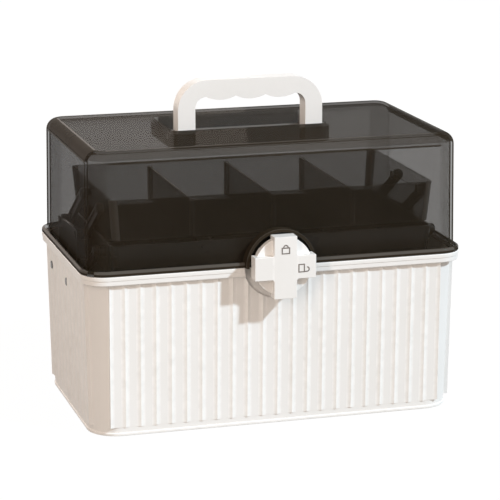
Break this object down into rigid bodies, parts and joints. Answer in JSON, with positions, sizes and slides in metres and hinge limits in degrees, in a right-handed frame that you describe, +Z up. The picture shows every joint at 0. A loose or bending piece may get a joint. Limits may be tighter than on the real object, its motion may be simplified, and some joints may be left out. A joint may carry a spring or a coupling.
{
  "type": "medicine storage box",
  "caption": "Carry box for medicines: fluted bin, smoked hinged lid with folding handle and turning latch, and two divided trays that swing up and back on arms.",
  "frame": {"origin": "centre of the flat underside of the bin, midway between its side walls and between its front and rear walls", "axes": "+X to the right as seen from the front, +Y to the back, where the lid hinges, +Z up; the latch faces -Y"},
  "size_m": [0.33, 0.2212, 0.2815],
  "materials": {
    "white_plastic": "warm white moulded polypropylene, fine satin",
    "smoked_plastic": "clear moulded plastic with a brown-grey smoke tint, polished",
    "smoked_tray_plastic": "see-through dark grey moulded plastic, polished",
    "black_plastic": "black moulded plastic, half gloss",
    "dark_arm_plastic": "dark grey-brown moulded plastic, satin",
    "grey_print": "thin grey print",
    "steel": "bright steel wire and screw",
    "dark_steel": "blackened steel rivets"
  },
  "bodies": {
    "base": {"base_bin": "white_plastic", "hinge_pin_left": "steel", "hinge_pin_right": "steel", "base_arm_pins": "dark_steel"},
    "lid": {"lid_shell": "smoked_plastic"},
    "handle": {"handle": "white_plastic"},
    "latch": {"latch_knob": "white_plastic", "latch_screw": "steel", "closed_padlock_mark": "grey_print", "open_padlock_mark": "grey_print"},
    "lower_front_arms": {"lower_front_arm_left": "dark_arm_plastic", "lower_front_arm_right": "dark_arm_plastic"},
    "lower_rear_arms": {"lower_rear_arm_left": "dark_arm_plastic", "lower_rear_arm_right": "dark_arm_plastic"},
    "lower_tray": {"lower_tray": "black_plastic", "lower_tray_dividers": "black_plastic", "lower_tray_front_pins": "dark_steel", "lower_tray_middle_pins": "dark_steel", "lower_tray_rear_pins": "dark_steel"},
    "upper_front_arms": {"upper_front_arm_left": "dark_arm_plastic", "upper_front_arm_right": "dark_arm_plastic"},
    "upper_rear_arms": {"upper_rear_arm_left": "dark_arm_plastic", "upper_rear_arm_right": "dark_arm_plastic"},
    "upper_tray": {"upper_tray": "smoked_tray_plastic", "upper_tray_dividers": "smoked_tray_plastic", "upper_tray_pins": "dark_steel"}
  },
  "joints": [
    {"name": "lid_hinge", "type": "hinge", "parent": "base", "child": "lid", "pos_m": [0, 0.1015, 0.14], "axis": [-1, 0, 0], "range_deg": [0, 110]},
    {"name": "handle_fold", "type": "hinge", "parent": "lid", "child": "handle", "pos_m": [0, -0.0035, 0.2334], "axis": [-1, 0, 0], "range_deg": [0, 90]},
    {"name": "latch_turn", "type": "hinge", "parent": "base", "child": "latch", "pos_m": [0, -0.1033, 0.14], "axis": [0, -1, 0], "range_deg": [0, 90]},
    {"name": "lower_front_arm_swing", "type": "hinge", "parent": "base", "child": "lower_front_arms", "pos_m": [0, -0.00113, 0.112], "axis": [-1, 0, 0], "range_deg": [0, 49.5]},
    {"name": "lower_rear_arm_swing", "type": "hinge", "parent": "base", "child": "lower_rear_arms", "pos_m": [0, 0.06087, 0.112], "axis": [-1, 0, 0], "range_deg": [0, 49.5]},
    {"name": "lower_tray_level", "type": "hinge", "parent": "lower_front_arms", "child": "lower_tray", "pos_m": [0, -0.061, 0.152], "axis": [-1, 0, 0], "range_deg": [-49.5, 0]},
    {"name": "upper_front_arm_swing", "type": "hinge", "parent": "lower_tray", "child": "upper_front_arms", "pos_m": [0, 0.001, 0.152], "axis": [-1, 0, 0], "range_deg": [0, 49.5]},
    {"name": "upper_rear_arm_swing", "type": "hinge", "parent": "lower_tray", "child": "upper_rear_arms", "pos_m": [0, 0.063, 0.152], "axis": [-1, 0, 0], "range_deg": [0, 49.5]},
    {"name": "upper_tray_level", "type": "hinge", "parent": "upper_front_arms", "child": "upper_tray", "pos_m": [0, -0.05322, 0.186], "axis": [-1, 0, 0], "range_deg": [-49.5, 0]}
  ],
  "couplings": [
    {"joint": "lower_front_arm_swing", "follows": "lid_hinge", "ratio": 0.45},
    {"joint": "lower_rear_arm_swing", "follows": "lid_hinge", "ratio": 0.45},
    {"joint": "lower_tray_level", "follows": "lid_hinge", "ratio": -0.45},
    {"joint": "upper_front_arm_swing", "follows": "lid_hinge", "ratio": 0.45},
    {"joint": "upper_rear_arm_swing", "follows": "lid_hinge", "ratio": 0.45},
    {"joint": "upper_tray_level", "follows": "lid_hinge", "ratio": -0.45}
  ]
}
